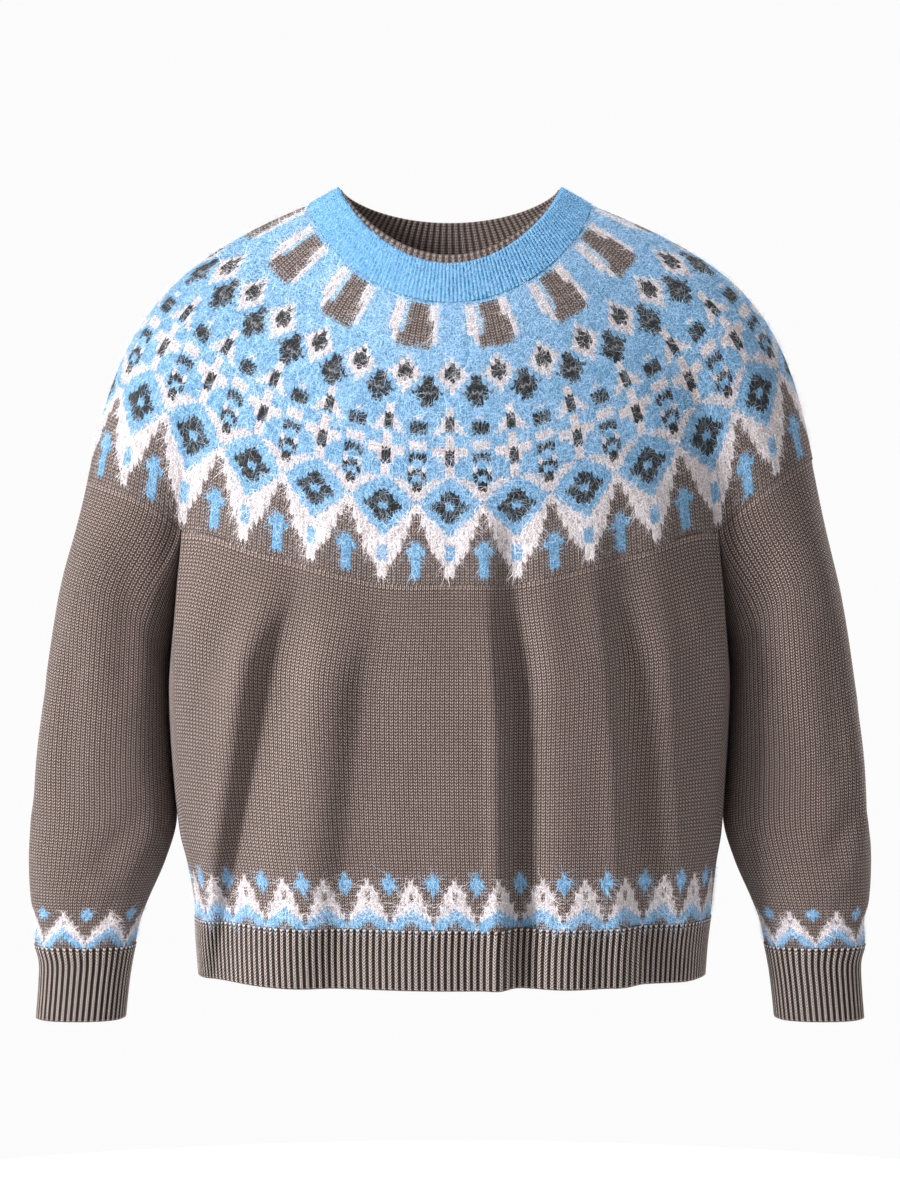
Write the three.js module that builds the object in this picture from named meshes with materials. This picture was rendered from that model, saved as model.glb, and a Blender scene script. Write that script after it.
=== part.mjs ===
// A hollow, worn jumper in fair isle knit: round yoke, straight body, long sleeves,
// and a ribbed collar, hem and cuffs. Each piece is a wall of cloth with its own inner side.
// Millimetres. -Y is the front, +X the wearer's left, +Z up. The origin is the middle of the neck,
// level with the foot of the collar on the shoulders.
import * as THREE from 'three';

const seamGap = 0.3;
const cornerGap = 0.4;
const wall = { cloth: 3, rib: 2.2, collar: 2, facing: 1.6 };
const ribRise = 1.1;

// The yoke is counted in pattern repeats: 0 is the centre front, 6 the wearer's left side, 12 the centre back.
const repeats = 24;
const armpit = { front: 4, back: 8 };
const underarmUnits = 2;

// Mesh steps. The joined edges share their points, so the finer one is a multiple of the coarser.
const steps = {
  yokeColumnsPerRepeat: 3,
  yokeRows: 9,
  panelColumnsPerUnit: 6,
  collarRibs: 214,
  hemRibs: 224,
  cuffRibs: 46,
};

// Ovals round the neck: the seam where the collar meets the yoke, and the collar's upper edge.
const neckSeam = { halfWidth: 112, front: 85, back: 78, height: 0, frontDrop: 86, backDrop: 40, power: 1.4 };
const collarEdge = { halfWidth: 88.6, front: 76, back: 66, height: 13.5, frontDrop: 68.5, backDrop: 27, power: 1.6 };
const facing = { start: 0.15, riseAtSide: 1, riseAtFront: 8, gap: 0.5 };

// The foot of the yoke, before the armpit creases are pressed in.
const yokeFoot = [
  { repeat: 0, x: 0, y: -128, z: -301 },
  { repeat: 1, x: 52, y: -125, z: -300 },
  { repeat: 2, x: 106, y: -112, z: -287 },
  { repeat: 3, x: 158, y: -89, z: -271 },
  { repeat: 4, x: 209, y: -61, z: -247 },
  { repeat: 5, x: 257, y: -37, z: -223 },
  { repeat: 6, x: 288.5, y: 8, z: -208 },
  { repeat: 7, x: 257, y: 52, z: -226 },
  { repeat: 8, x: 211, y: 78, z: -250 },
  { repeat: 9, x: 160, y: 97, z: -271 },
  { repeat: 10, x: 107, y: 110, z: -282 },
  { repeat: 11, x: 54, y: 118, z: -288 },
  { repeat: 12, x: 0, y: 120, z: -290 },
];
// How the cloth leaves the neck and reaches the foot: degrees below level, and length of the pull.
const yokeFall = [
  { repeat: 0, leave: 62, leavePull: 75, arrive: 88, arrivePull: 80 },
  { repeat: 2, leave: 56, leavePull: 85, arrive: 87, arrivePull: 85 },
  { repeat: 4, leave: 40, leavePull: 108, arrive: 84, arrivePull: 100 },
  { repeat: 6, leave: 21.5, leavePull: 131, arrive: 79, arrivePull: 118 },
  { repeat: 8, leave: 32, leavePull: 112, arrive: 84, arrivePull: 105 },
  { repeat: 10, leave: 42, leavePull: 105, arrive: 88, arrivePull: 105 },
  { repeat: 12, leave: 46, leavePull: 100, arrive: 89, arrivePull: 110 },
];
const armpitCreases = [
  { repeat: 4, x: 2, y: 33, z: -12 },
  { repeat: 8, x: 0, y: -26, z: -12 },
];
const creaseShape = { reach: 0.36, softness: 0.08, fade: 5 };
const shoulderTilt = 9;
const underarm = { bulge: 1.5, dip: 38, power: 0.8 };

// Level sections of the body, and of the sleeve on the wearer's left.
const bodyPower = 2.35;
const bodySections = [
  { z: -250, x: 0, halfWidth: 219, front: 127, back: 119 },
  { z: -314, x: 0, halfWidth: 223, front: 126, back: 120 },
  { z: -393, x: -0.5, halfWidth: 222, front: 123, back: 119 },
  { z: -441, x: -0.5, halfWidth: 219.5, front: 121, back: 118 },
  { z: -497, x: 0.5, halfWidth: 214.5, front: 119, back: 117 },
  { z: -521, x: 1.5, halfWidth: 209.5, front: 118.5, back: 116.5 },
  { z: -552, x: 2.5, halfWidth: 205, front: 118, back: 116 },
  { z: -584, x: 1.5, halfWidth: 202, front: 118, back: 115 },
  { z: -609, x: 1.5, halfWidth: 200, front: 118, back: 115 },
];
const sleevePower = 2.3;
const sleeveSections = [
  { z: -205, x: 252, halfWidth: 37, y: 12, halfDepth: 46 },
  { z: -262, x: 260, halfWidth: 40.5, y: 13, halfDepth: 50 },
  { z: -314, x: 270, halfWidth: 42.5, y: 14, halfDepth: 52 },
  { z: -393, x: 276, halfWidth: 48.6, y: 15, halfDepth: 51 },
  { z: -441, x: 278.5, halfWidth: 52.6, y: 14, halfDepth: 49 },
  { z: -489, x: 278, halfWidth: 56, y: 11, halfDepth: 46 },
  { z: -521, x: 281, halfWidth: 54, y: 7, halfDepth: 43 },
  { z: -552, x: 286.5, halfWidth: 46.2, y: 3, halfDepth: 40 },
  { z: -568, x: 287.5, halfWidth: 41.2, y: 1, halfDepth: 36.5 },
  { z: -586, x: 289.5, halfWidth: 39.4, y: -1, halfDepth: 34.5 },
  { z: -600, x: 289, halfWidth: 36.2, y: -3, halfDepth: 31 },
  { z: -616, x: 290.2, halfWidth: 35, y: -4, halfDepth: 30 },
  { z: -644, x: 292.5, halfWidth: 34.5, y: -6, halfDepth: 29.5 },
];
const level = { hemSeam: -563, hemEdge: -609, cuffSeam: -586, cuffEdge: -644 };
const bodyRows = [0, 0.08, 0.2, 0.36, 0.55, 0.77, 1];
const sleeveRows = [0, 0.07, 0.16, 0.28, 0.42, 0.56, 0.69, 0.8, 0.89, 0.945, 1];
const bodyFade = 95;
const sleeveFade = 75;

// Share of the way round a level section for each unit round the body or sleeve.
const bodyShare = [
  { unit: 0, share: 0 },
  { unit: 4, share: 0.212 },
  { unit: 5, share: 0.25 },
  { unit: 6, share: 0.288 },
  { unit: 10, share: 0.5 },
];
const sleeveShare = { perRepeat: 0.17, perUnderarmUnit: 0.16, outerSide: 0.25 };

// Hanging folds: x at the yoke and at the hem, where each starts, its depth and half its width.
const frontFolds = [
  { topX: -129, hemX: -180, startZ: -270, depth: 9, half: 17 },
  { topX: -83, hemX: -70, startZ: -310, depth: 8, half: 14 },
  { topX: 43, hemX: 40, startZ: -292, depth: 12, half: 13 },
  { topX: 128, hemX: 158, startZ: -300, depth: 9, half: 16 },
];
const backFolds = [
  { topX: -118, hemX: -148, startZ: -280, depth: 10, half: 16 },
  { topX: -40, hemX: -34, startZ: -300, depth: 9, half: 15 },
  { topX: 52, hemX: 61, startZ: -320, depth: 8, half: 14 },
  { topX: 126, hemX: 150, startZ: -285, depth: 10, half: 17 },
];
const foldGrowth = 150;
const ridge = { share: 0.35, at: 2.1 };

const colours = {
  yoke: '#8d7b6c',
  ground: '#8a7869',
  sky: '#a3bdd2',
  facing: '#7d6c5f',
};

const smooth = (value) => {
  const held = Math.min(1, Math.max(0, value));
  return held * held * (3 - 2 * held);
};

// Reads a table at a place between its rows, on smooth curves through every row.
function readTable(rows, key, place) {
  const last = rows.length - 1;
  let low = 0;
  while (low < last - 1 && (rows[low + 1][key] - place) * (rows[last][key] - rows[0][key]) < 0) low += 1;
  const around = [Math.max(0, low - 1), low, low + 1, Math.min(last, low + 2)].map((index) => rows[index]);
  const span = around[2][key] - around[1][key];
  const share = Math.min(1, Math.max(0, (place - around[1][key]) / span));
  const result = {};
  for (const column of Object.keys(rows[0])) {
    const [before, from, to, after] = around.map((row) => row[column]);
    const slopeFrom = ((to - before) / (around[2][key] - around[0][key] || span)) * span;
    const slopeTo = ((after - from) / (around[3][key] - around[1][key] || span)) * span;
    const square = share * share;
    const cube = square * share;
    result[column] = (2 * cube - 3 * square + 1) * from + (cube - 2 * square + share) * slopeFrom
      + (3 * square - 2 * cube) * to + (cube - square) * slopeTo;
  }
  return result;
}

// The same on straight lines between the rows.
function linearTable(rows, key, place) {
  let low = 0;
  while (low < rows.length - 2 && rows[low + 1][key] < place) low += 1;
  const share = (place - rows[low][key]) / (rows[low + 1][key] - rows[low][key]);
  const result = {};
  for (const column of Object.keys(rows[0])) {
    result[column] = rows[low][column] + (rows[low + 1][column] - rows[low][column]) * share;
  }
  return result;
}

// Folds a count round the yoke on to the wearer's left half, and says which side it was on.
function halfRound(repeat) {
  const turned = ((repeat % repeats) + repeats) % repeats;
  return turned <= repeats / 2 ? { place: turned, side: 1 } : { place: repeats - turned, side: -1 };
}

function mirroredRows(rows) {
  const [, second] = rows;
  const beforeLast = rows[rows.length - 2];
  const last = rows[rows.length - 1];
  return [
    { ...second, repeat: -second.repeat, x: -second.x },
    ...rows,
    { ...beforeLast, repeat: 2 * last.repeat - beforeLast.repeat, x: -beforeLast.x },
  ];
}
const yokeFootAround = mirroredRows(yokeFoot);

function ovalPoint(oval, repeat) {
  const turn = (repeat / repeats) * 2 * Math.PI;
  const ahead = Math.cos(turn);
  const reach = ahead > 0 ? oval.front : oval.back;
  const drop = ahead > 0 ? oval.frontDrop : oval.backDrop;
  return new THREE.Vector3(
    oval.halfWidth * Math.sin(turn),
    -reach * ahead,
    oval.height - drop * Math.abs(ahead) ** oval.power,
  );
}

function footBeforeCrease(repeat) {
  const { place, side } = halfRound(repeat);
  const row = readTable(yokeFootAround, 'repeat', place);
  const onSleeve = place > armpit.front && place < armpit.back;
  const lift = onSleeve ? Math.sin(((place - armpit.front) / 4) * Math.PI) ** 2 : 0;
  return new THREE.Vector3(side * row.x, row.y, row.z + side * shoulderTilt * lift);
}

function creaseShift(repeat) {
  const { place, side } = halfRound(repeat);
  const shift = new THREE.Vector3();
  for (const crease of armpitCreases) {
    const away = Math.hypot(place - crease.repeat, creaseShape.softness) - creaseShape.softness;
    const share = Math.exp(-away / creaseShape.reach);
    shift.add(new THREE.Vector3(side * crease.x, crease.y, crease.z).multiplyScalar(share));
  }
  return shift;
}

// A point of the yoke: down is 0 at the neck seam and 1 at the foot, even along the cloth.
function yokePoint(repeat, down) {
  const neck = ovalPoint(neckSeam, repeat);
  const foot = footBeforeCrease(repeat);
  const fall = readTable(yokeFall, 'repeat', halfRound(repeat).place);
  const outward = new THREE.Vector3(foot.x - neck.x, foot.y - neck.y, 0).normalize();
  const pull = (degrees, length) => {
    const slope = THREE.MathUtils.degToRad(degrees);
    return outward.clone().multiplyScalar(Math.cos(slope) * length)
      .add(new THREE.Vector3(0, 0, -Math.sin(slope) * length));
  };
  const curve = new THREE.CubicBezierCurve3(
    neck,
    neck.clone().add(pull(fall.leave, fall.leavePull)),
    foot.clone().sub(pull(fall.arrive, fall.arrivePull)),
    foot,
  );
  curve.arcLengthDivisions = 40;
  return curve.getPointAt(down).addScaledVector(creaseShift(repeat), down ** creaseShape.fade);
}

// The underarm dips between the two armpit creases; along runs from 0 at the front to 1 at the back.
function underarmPoint(along) {
  const front = yokePoint(armpit.front, 1);
  const back = yokePoint(armpit.back, 1);
  const middle = Math.sin(Math.PI * along);
  const point = front.lerp(back, along);
  point.x += underarm.bulge * middle;
  point.z -= underarm.dip * middle ** underarm.power;
  return point;
}

// A level oval through four reaches, entered by the share of its own length from the centre front.
function sectionPoint(section, share) {
  const divisions = 64;
  const quarter = (reach) => {
    const points = [];
    for (let index = 0; index <= divisions; index += 1) {
      const turn = (index / divisions) * (Math.PI / 2);
      points.push(new THREE.Vector2(
        section.halfWidth * Math.sin(turn) ** (2 / section.power),
        reach * Math.cos(turn) ** (2 / section.power),
      ));
    }
    return points;
  };
  const front = quarter(section.front).map((point) => new THREE.Vector2(point.x, -point.y));
  const back = quarter(section.back).reverse().slice(1);
  const line = [...front, ...back];
  const lengths = [0];
  for (let index = 1; index < line.length; index += 1) {
    lengths.push(lengths[index - 1] + line[index].distanceTo(line[index - 1]));
  }
  const turned = ((share % 1) + 1) % 1;
  const side = turned <= 0.5 ? 1 : -1;
  const wanted = Math.min(turned, 1 - turned) * 2 * lengths[lengths.length - 1];
  let index = 1;
  while (index < lengths.length - 1 && lengths[index] < wanted) index += 1;
  const between = (wanted - lengths[index - 1]) / (lengths[index] - lengths[index - 1]);
  const found = line[index - 1].clone().lerp(line[index], between);
  return new THREE.Vector2(side * found.x, found.y);
}

// Units round the body: 0 centre front, 4 to 6 the wearer's left underarm, 10 centre back.
const bodyUnits = 2 * (armpit.front + underarmUnits + repeats / 2 - armpit.back);

function bodyHalf(unit) {
  const turned = ((unit % bodyUnits) + bodyUnits) % bodyUnits;
  return turned <= bodyUnits / 2 ? { place: turned, side: 1 } : { place: bodyUnits - turned, side: -1 };
}

function bodyTop(unit) {
  const { place, side } = bodyHalf(unit);
  const underarmEnd = armpit.front + underarmUnits;
  if (place > armpit.front && place < underarmEnd) {
    const point = underarmPoint((place - armpit.front) / underarmUnits);
    point.x = side * (point.x - seamGap / 2);
    return point;
  }
  const repeat = place <= armpit.front ? place : place + armpit.back - underarmEnd;
  return yokePoint(side * repeat, 1);
}

function foldShift(folds, x, z) {
  let shift = 0;
  for (const fold of folds) {
    const down = (fold.startZ - z) / (fold.startZ - level.hemEdge);
    if (down <= 0) continue;
    const middle = fold.topX + (fold.hemX - fold.topX) * down;
    const away = (x - middle) / fold.half;
    const grown = fold.depth * smooth((fold.startZ - z) / foldGrowth);
    const beside = Math.exp(-((Math.abs(away) - ridge.at) ** 2));
    shift += grown * (ridge.share * beside - Math.exp(-away * away));
  }
  return shift;
}

function bodySectionPoint(unit, z) {
  const { place, side } = bodyHalf(unit);
  const row = readTable(bodySections, 'z', z);
  const { share } = linearTable(bodyShare, 'unit', place);
  const flat = sectionPoint({ ...row, power: bodyPower }, share);
  const folds = flat.y < 0 ? frontFolds : backFolds;
  const x = row.x + side * flat.x;
  const facingOut = Math.abs(flat.y) / (flat.y < 0 ? row.front : row.back);
  const pushed = foldShift(folds, x, z) * smooth(facingOut * 1.5);
  return new THREE.Vector3(x, flat.y + Math.sign(flat.y) * pushed, z);
}

// The body follows its level sections, and eases from them to the yoke's foot and the underarms.
function bodyPoint(unit, z) {
  const top = bodyTop(unit);
  const point = bodySectionPoint(unit, z);
  const ease = 1 - smooth((top.z - z) / bodyFade);
  const atTop = bodySectionPoint(unit, top.z);
  point.x += (top.x - atTop.x) * ease;
  point.y += (top.y - atTop.y) * ease;
  return point;
}

// Units round the sleeve: 0 the front armpit, 2 the outer side, 4 the back armpit, 5 under the arm.
const sleeveUnits = armpit.back - armpit.front + underarmUnits;

function sleeveTop(unit, side) {
  const turned = ((unit % sleeveUnits) + sleeveUnits) % sleeveUnits;
  const overArm = armpit.back - armpit.front;
  if (turned > overArm) {
    const point = underarmPoint((sleeveUnits - turned) / underarmUnits);
    point.x += seamGap / 2;
    return point;
  }
  const point = yokePoint(side * (armpit.front + turned), 1);
  point.x *= side;
  return point;
}

function sleeveSectionPoint(unit, z) {
  const row = readTable(sleeveSections, 'z', z);
  const overArm = armpit.back - armpit.front;
  const turned = ((unit % sleeveUnits) + sleeveUnits) % sleeveUnits;
  const fromFront = turned <= overArm
    ? sleeveShare.perRepeat * turned
    : sleeveShare.perRepeat * overArm + sleeveShare.perUnderarmUnit * (turned - overArm);
  const share = sleeveShare.outerSide + fromFront - sleeveShare.perRepeat * (overArm / 2);
  const oval = { halfWidth: row.halfWidth, front: row.halfDepth, back: row.halfDepth, power: sleevePower };
  const flat = sectionPoint(oval, share);
  return new THREE.Vector3(row.x + flat.x, row.y + flat.y, z);
}

function sleevePoint(unit, z, side) {
  const top = sleeveTop(unit, side);
  const point = sleeveSectionPoint(unit, z);
  const ease = 1 - smooth((top.z - z) / sleeveFade);
  const atTop = sleeveSectionPoint(unit, top.z);
  point.x += (top.x - atTop.x) * ease;
  point.y += (top.y - atTop.y) * ease;
  return point;
}

// A closed wall between an outer and an inner sheet. Rows run down; columns run from the front towards
// the wearer's left. The outer sheet may have several columns to each one of the inner sheet.
function wallGeometry(outerRows, innerRows, { closed = true, mirrored = false } = {}) {
  const positions = [];
  const triangle = (...corners) => {
    const ordered = mirrored ? corners.reverse() : corners;
    for (const corner of ordered) positions.push(mirrored ? -corner.x : corner.x, corner.y, corner.z);
  };
  const sheet = (rows, outward) => {
    const count = rows[0].length;
    for (let row = 0; row < rows.length - 1; row += 1) {
      for (let column = 0; column < (closed ? count : count - 1); column += 1) {
        const next = (column + 1) % count;
        const corners = [rows[row][column], rows[row + 1][column], rows[row + 1][next], rows[row][next]];
        if (!outward) corners.reverse();
        triangle(corners[0], corners[1], corners[2]);
        triangle(corners[0], corners[2], corners[3]);
      }
    }
  };
  const edge = (outer, inner, upward) => {
    const face = (...corners) => triangle(...(upward ? corners : corners.reverse()));
    const innerSegments = closed ? inner.length : inner.length - 1;
    const outerSegments = closed ? outer.length : outer.length - 1;
    const ratio = outerSegments / innerSegments;
    const half = Math.floor(ratio / 2);
    for (let column = 0; column < innerSegments; column += 1) {
      const here = inner[column];
      const beyond = inner[(column + 1) % inner.length];
      const at = (step) => outer[(column * ratio + step) % outer.length];
      for (let step = 0; step < half; step += 1) face(at(step), at(step + 1), here);
      face(at(half), beyond, here);
      for (let step = half; step < ratio; step += 1) face(at(step), at(step + 1), beyond);
    }
  };
  sheet(outerRows, true);
  sheet(innerRows, false);
  edge(outerRows[0], innerRows[0], true);
  edge(outerRows[outerRows.length - 1], innerRows[innerRows.length - 1], false);
  if (!closed) {
    for (let row = 0; row < outerRows.length - 1; row += 1) {
      const last = outerRows[row].length - 1;
      triangle(outerRows[row][0], innerRows[row][0], innerRows[row + 1][0]);
      triangle(outerRows[row][0], innerRows[row + 1][0], outerRows[row + 1][0]);
      triangle(outerRows[row][last], innerRows[row + 1][last], innerRows[row][last]);
      triangle(outerRows[row][last], outerRows[row + 1][last], innerRows[row + 1][last]);
    }
  }
  const geometry = new THREE.BufferGeometry();
  geometry.setAttribute('position', new THREE.Float32BufferAttribute(positions, 3));
  geometry.computeVertexNormals();
  return geometry;
}

const times = (count, make) => Array.from({ length: count }, (unused, index) => make(index));

// Moves a closed row of points sideways, square to the row and level: inwards is negative.
function levelOffset(points, distance) {
  return points.map((point, index) => {
    const before = points[(index + points.length - 1) % points.length];
    const after = points[(index + 1) % points.length];
    const along = new THREE.Vector2(after.x - before.x, after.y - before.y).normalize();
    return new THREE.Vector3(point.x + along.y * distance, point.y - along.x * distance, point.z);
  });
}

// Moves a closed sheet along its own normals.
function sheetOffset(rows, distance) {
  return rows.map((points, row) => points.map((point, column) => {
    const before = points[(column + points.length - 1) % points.length];
    const after = points[(column + 1) % points.length];
    const above = rows[Math.max(0, row - 1)][column];
    const below = rows[Math.min(rows.length - 1, row + 1)][column];
    const normal = after.clone().sub(before).cross(above.clone().sub(below)).normalize();
    return point.clone().addScaledVector(normal, distance);
  }));
}

// A place on a closed line of points, between two neighbours.
function onLine(points, place) {
  const turned = ((place % points.length) + points.length) % points.length;
  const low = Math.floor(turned);
  return points[low].clone().lerp(points[(low + 1) % points.length], turned - low);
}

const yokeColumns = repeats * steps.yokeColumnsPerRepeat;
const yokeOuter = times(steps.yokeRows + 1, (row) => times(
  yokeColumns,
  (column) => yokePoint(column / steps.yokeColumnsPerRepeat, row / steps.yokeRows),
));
const yokeInner = sheetOffset(yokeOuter, -wall.cloth);
yokeInner[steps.yokeRows] = levelOffset(yokeOuter[steps.yokeRows], -wall.cloth);
const underarmSegments = underarmUnits * steps.yokeColumnsPerRepeat;
const underarmLine = times(underarmSegments + 1, (index) => underarmPoint(index / underarmSegments));

function yokeEdge(rows, repeat) {
  const point = onLine(rows[rows.length - 1], repeat * steps.yokeColumnsPerRepeat);
  point.z -= seamGap;
  return point;
}

function underarmEdge(along) {
  const place = along * underarmSegments;
  const low = Math.min(underarmSegments - 1, Math.floor(place));
  return underarmLine[low].clone().lerp(underarmLine[low + 1], place - low);
}

// The top edges of the body and sleeves lie a seam's gap under the yoke, on the yoke's own points.
function panelTop(unitsRound, columns, edgeAt) {
  const outer = times(columns, (column) => edgeAt((column / columns) * unitsRound).outer);
  const inner = levelOffset(outer, -wall.cloth);
  return { outer, inner: inner.map((point, column) => edgeAt((column / columns) * unitsRound).inner ?? point) };
}

function bodyEdge(unit) {
  const { place, side } = bodyHalf(unit);
  const underarmEnd = armpit.front + underarmUnits;
  if (place >= armpit.front && place <= underarmEnd) {
    const outer = underarmEdge((place - armpit.front) / underarmUnits);
    outer.x = side * (outer.x - seamGap / 2);
    outer.z -= seamGap;
    return { outer };
  }
  const repeat = side * (place < armpit.front ? place : place + armpit.back - underarmEnd);
  return { outer: yokeEdge(yokeOuter, repeat), inner: yokeEdge(yokeInner, repeat) };
}

function sleeveEdge(unit, side) {
  const overArm = armpit.back - armpit.front;
  if (unit === 0 || unit >= overArm) {
    const outer = underarmEdge(unit === 0 ? 0 : (sleeveUnits - unit) / underarmUnits);
    outer.x += seamGap / 2;
    outer.z -= seamGap;
    return { outer };
  }
  // The seam opens a little more towards its corners at the armpits.
  const opened = cornerGap * Math.max(0, 1 - Math.min(unit, overArm - unit));
  const lowered = (rows) => {
    const point = yokeEdge(rows, side * (armpit.front + unit));
    return new THREE.Vector3(point.x * side, point.y, point.z - opened);
  };
  return { outer: lowered(yokeOuter), inner: lowered(yokeInner) };
}

function panelSheets(top, rows, seamZ, pointAt) {
  const outer = rows.map((down, row) => (row === 0 ? top.outer : top.outer.map((edge, column) => {
    const z = edge.z + (seamZ - edge.z) * down;
    return pointAt(column, z);
  })));
  const inner = outer.map((points, row) => (row === 0 ? top.inner : levelOffset(points, -wall.cloth)));
  return { outer, inner };
}

const bodyColumns = bodyUnits * steps.panelColumnsPerUnit;
const body = panelSheets(
  panelTop(bodyUnits, bodyColumns, bodyEdge),
  bodyRows,
  level.hemSeam,
  (column, z) => bodyPoint(column / steps.panelColumnsPerUnit, z),
);

// Cuts the body at the side seams; each half keeps its share of the gap between them.
function bodyPanel(firstColumn) {
  const count = bodyColumns / 2;
  const shift = (firstColumn === bodyColumns / 4 ? 1 : -1) * (seamGap / 2);
  const cut = (rows) => rows.map((points) => times(count + 1, (step) => {
    const point = points[(firstColumn + step) % bodyColumns].clone();
    if (step === 0 || step === count) point.y += shift;
    return point;
  }));
  return wallGeometry(cut(body.outer), cut(body.inner), { closed: false });
}

function sleeveGeometry(side) {
  const columns = sleeveUnits * steps.panelColumnsPerUnit;
  const sheets = panelSheets(
    panelTop(sleeveUnits, columns, (unit) => sleeveEdge(unit, side)),
    sleeveRows,
    level.cuffSeam,
    (column, z) => sleevePoint(column / steps.panelColumnsPerUnit, z, side),
  );
  return wallGeometry(sheets.outer, sheets.inner, { mirrored: side < 0 });
}

// A ribbed band: two outer columns to each rib, every other one raised, over a plain inner side.
function ribbedBand(ribs, pointAt, thickness, mirrored = false) {
  const columns = ribs * 2;
  const plain = (edge) => times(columns, (column) => pointAt(column / columns, edge));
  const raised = (points) => {
    const lifted = levelOffset(points, ribRise);
    return points.map((point, column) => (column % 2 === 0 ? lifted[column] : point));
  };
  const within = (points) => levelOffset(points, -thickness).filter((point, column) => column % 4 === 0);
  const edges = [plain(0), plain(1)];
  return wallGeometry(edges.map(raised), edges.map(within), { mirrored });
}

const hemGeometry = ribbedBand(steps.hemRibs, (share, edge) => {
  const z = edge === 0 ? level.hemSeam - seamGap : level.hemEdge;
  return bodySectionPoint(share * bodyUnits, z);
}, wall.rib);

const cuffGeometry = (side) => ribbedBand(steps.cuffRibs, (share, edge) => {
  const z = edge === 0 ? level.cuffSeam - seamGap : level.cuffEdge;
  return sleeveSectionPoint(share * sleeveUnits, z);
}, wall.rib, side < 0);

// The collar stands on the yoke's top edge and leans in to its own upper edge.
function collarPoint(share, height) {
  const foot = onLine(yokeOuter[0], share * yokeColumns);
  const edge = ovalPoint(collarEdge, share * repeats);
  const rise = edge.clone().sub(foot);
  return foot.addScaledVector(rise, seamGap / rise.length() + height * (1 - seamGap / rise.length()));
}

function collarGeometryAndFacing() {
  const columns = steps.collarRibs * 2;
  const plain = [1, 0].map((height) => times(columns, (column) => collarPoint(column / columns, height)));
  const lifted = sheetOffset(plain, ribRise);
  const outer = plain.map((points, row) => points.map((point, column) => (column % 2 ? point : lifted[row][column])));
  const inner = sheetOffset(plain, -wall.collar).map((points) => points.filter((point, column) => column % 4 === 0));

  const behind = [1, facing.start].map((height) => times(yokeColumns, (column) => {
    const share = column / yokeColumns;
    const point = collarPoint(share, height);
    if (height < 1) return point;
    const ahead = Math.cos(share * 2 * Math.PI) ** 2;
    const rise = facing.riseAtSide + (facing.riseAtFront - facing.riseAtSide) * ahead;
    const upward = point.clone().sub(collarPoint(share, 0)).normalize();
    return point.addScaledVector(upward, rise);
  }));
  const outerFacing = sheetOffset(behind, -wall.collar - facing.gap);
  const innerFacing = sheetOffset(behind, -wall.collar - facing.gap - wall.facing);
  return { collar: wallGeometry(outer, inner), facing: wallGeometry(outerFacing, innerFacing) };
}

function piece(name, geometry, colour) {
  const material = new THREE.MeshStandardMaterial({ color: colour, roughness: 0.95, metalness: 0 });
  const mesh = new THREE.Mesh(geometry, material);
  mesh.name = name;
  return mesh;
}

const neckPieces = collarGeometryAndFacing();
const jumper = new THREE.Group();
jumper.add(
  piece('collar', neckPieces.collar, colours.sky),
  piece('collar_facing', neckPieces.facing, colours.facing),
  piece('yoke', wallGeometry(yokeOuter, yokeInner), colours.yoke),
  piece('body_front', bodyPanel((3 * bodyColumns) / 4), colours.ground),
  piece('body_back', bodyPanel(bodyColumns / 4), colours.ground),
  piece('hem_rib', hemGeometry, colours.ground),
  piece('sleeve_left', sleeveGeometry(1), colours.ground),
  piece('sleeve_right', sleeveGeometry(-1), colours.ground),
  piece('cuff_left', cuffGeometry(1), colours.ground),
  piece('cuff_right', cuffGeometry(-1), colours.ground),
);

export default jumper;
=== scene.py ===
import math
import bmesh
import bpy
import numpy as np
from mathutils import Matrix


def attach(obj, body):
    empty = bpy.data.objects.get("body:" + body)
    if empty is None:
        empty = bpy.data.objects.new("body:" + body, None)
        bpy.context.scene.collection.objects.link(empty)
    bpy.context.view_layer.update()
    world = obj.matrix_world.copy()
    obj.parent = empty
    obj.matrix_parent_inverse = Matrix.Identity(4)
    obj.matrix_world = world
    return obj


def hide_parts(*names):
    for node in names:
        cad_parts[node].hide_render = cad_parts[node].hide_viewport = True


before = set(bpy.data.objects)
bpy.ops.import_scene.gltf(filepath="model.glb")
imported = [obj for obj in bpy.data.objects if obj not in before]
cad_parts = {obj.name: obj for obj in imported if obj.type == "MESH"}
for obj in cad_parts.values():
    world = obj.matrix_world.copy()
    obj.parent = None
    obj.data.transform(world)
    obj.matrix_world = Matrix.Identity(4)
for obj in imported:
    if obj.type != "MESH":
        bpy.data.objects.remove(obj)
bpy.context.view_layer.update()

mm = 0.001
draws = np.random.default_rng(24)   # every random choice comes from here

# Camera, level with the middle of the jumper and square to its front
shot = {"place": (0, -2.4, -0.314), "lens": 90.6, "sensor": 36}


def placeCamera():
    lens = bpy.data.cameras.new("camera")
    lens.lens = shot["lens"]
    lens.sensor_width = shot["sensor"]
    camera = bpy.data.objects.new("camera", lens)
    camera.location = shot["place"]
    camera.rotation_euler = (math.pi / 2, 0, 0)
    bpy.context.scene.collection.objects.link(camera)
    bpy.context.scene.camera = camera


placeCamera()
print("camera")
bpy.context.scene.view_settings.view_transform = "Standard"

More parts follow.
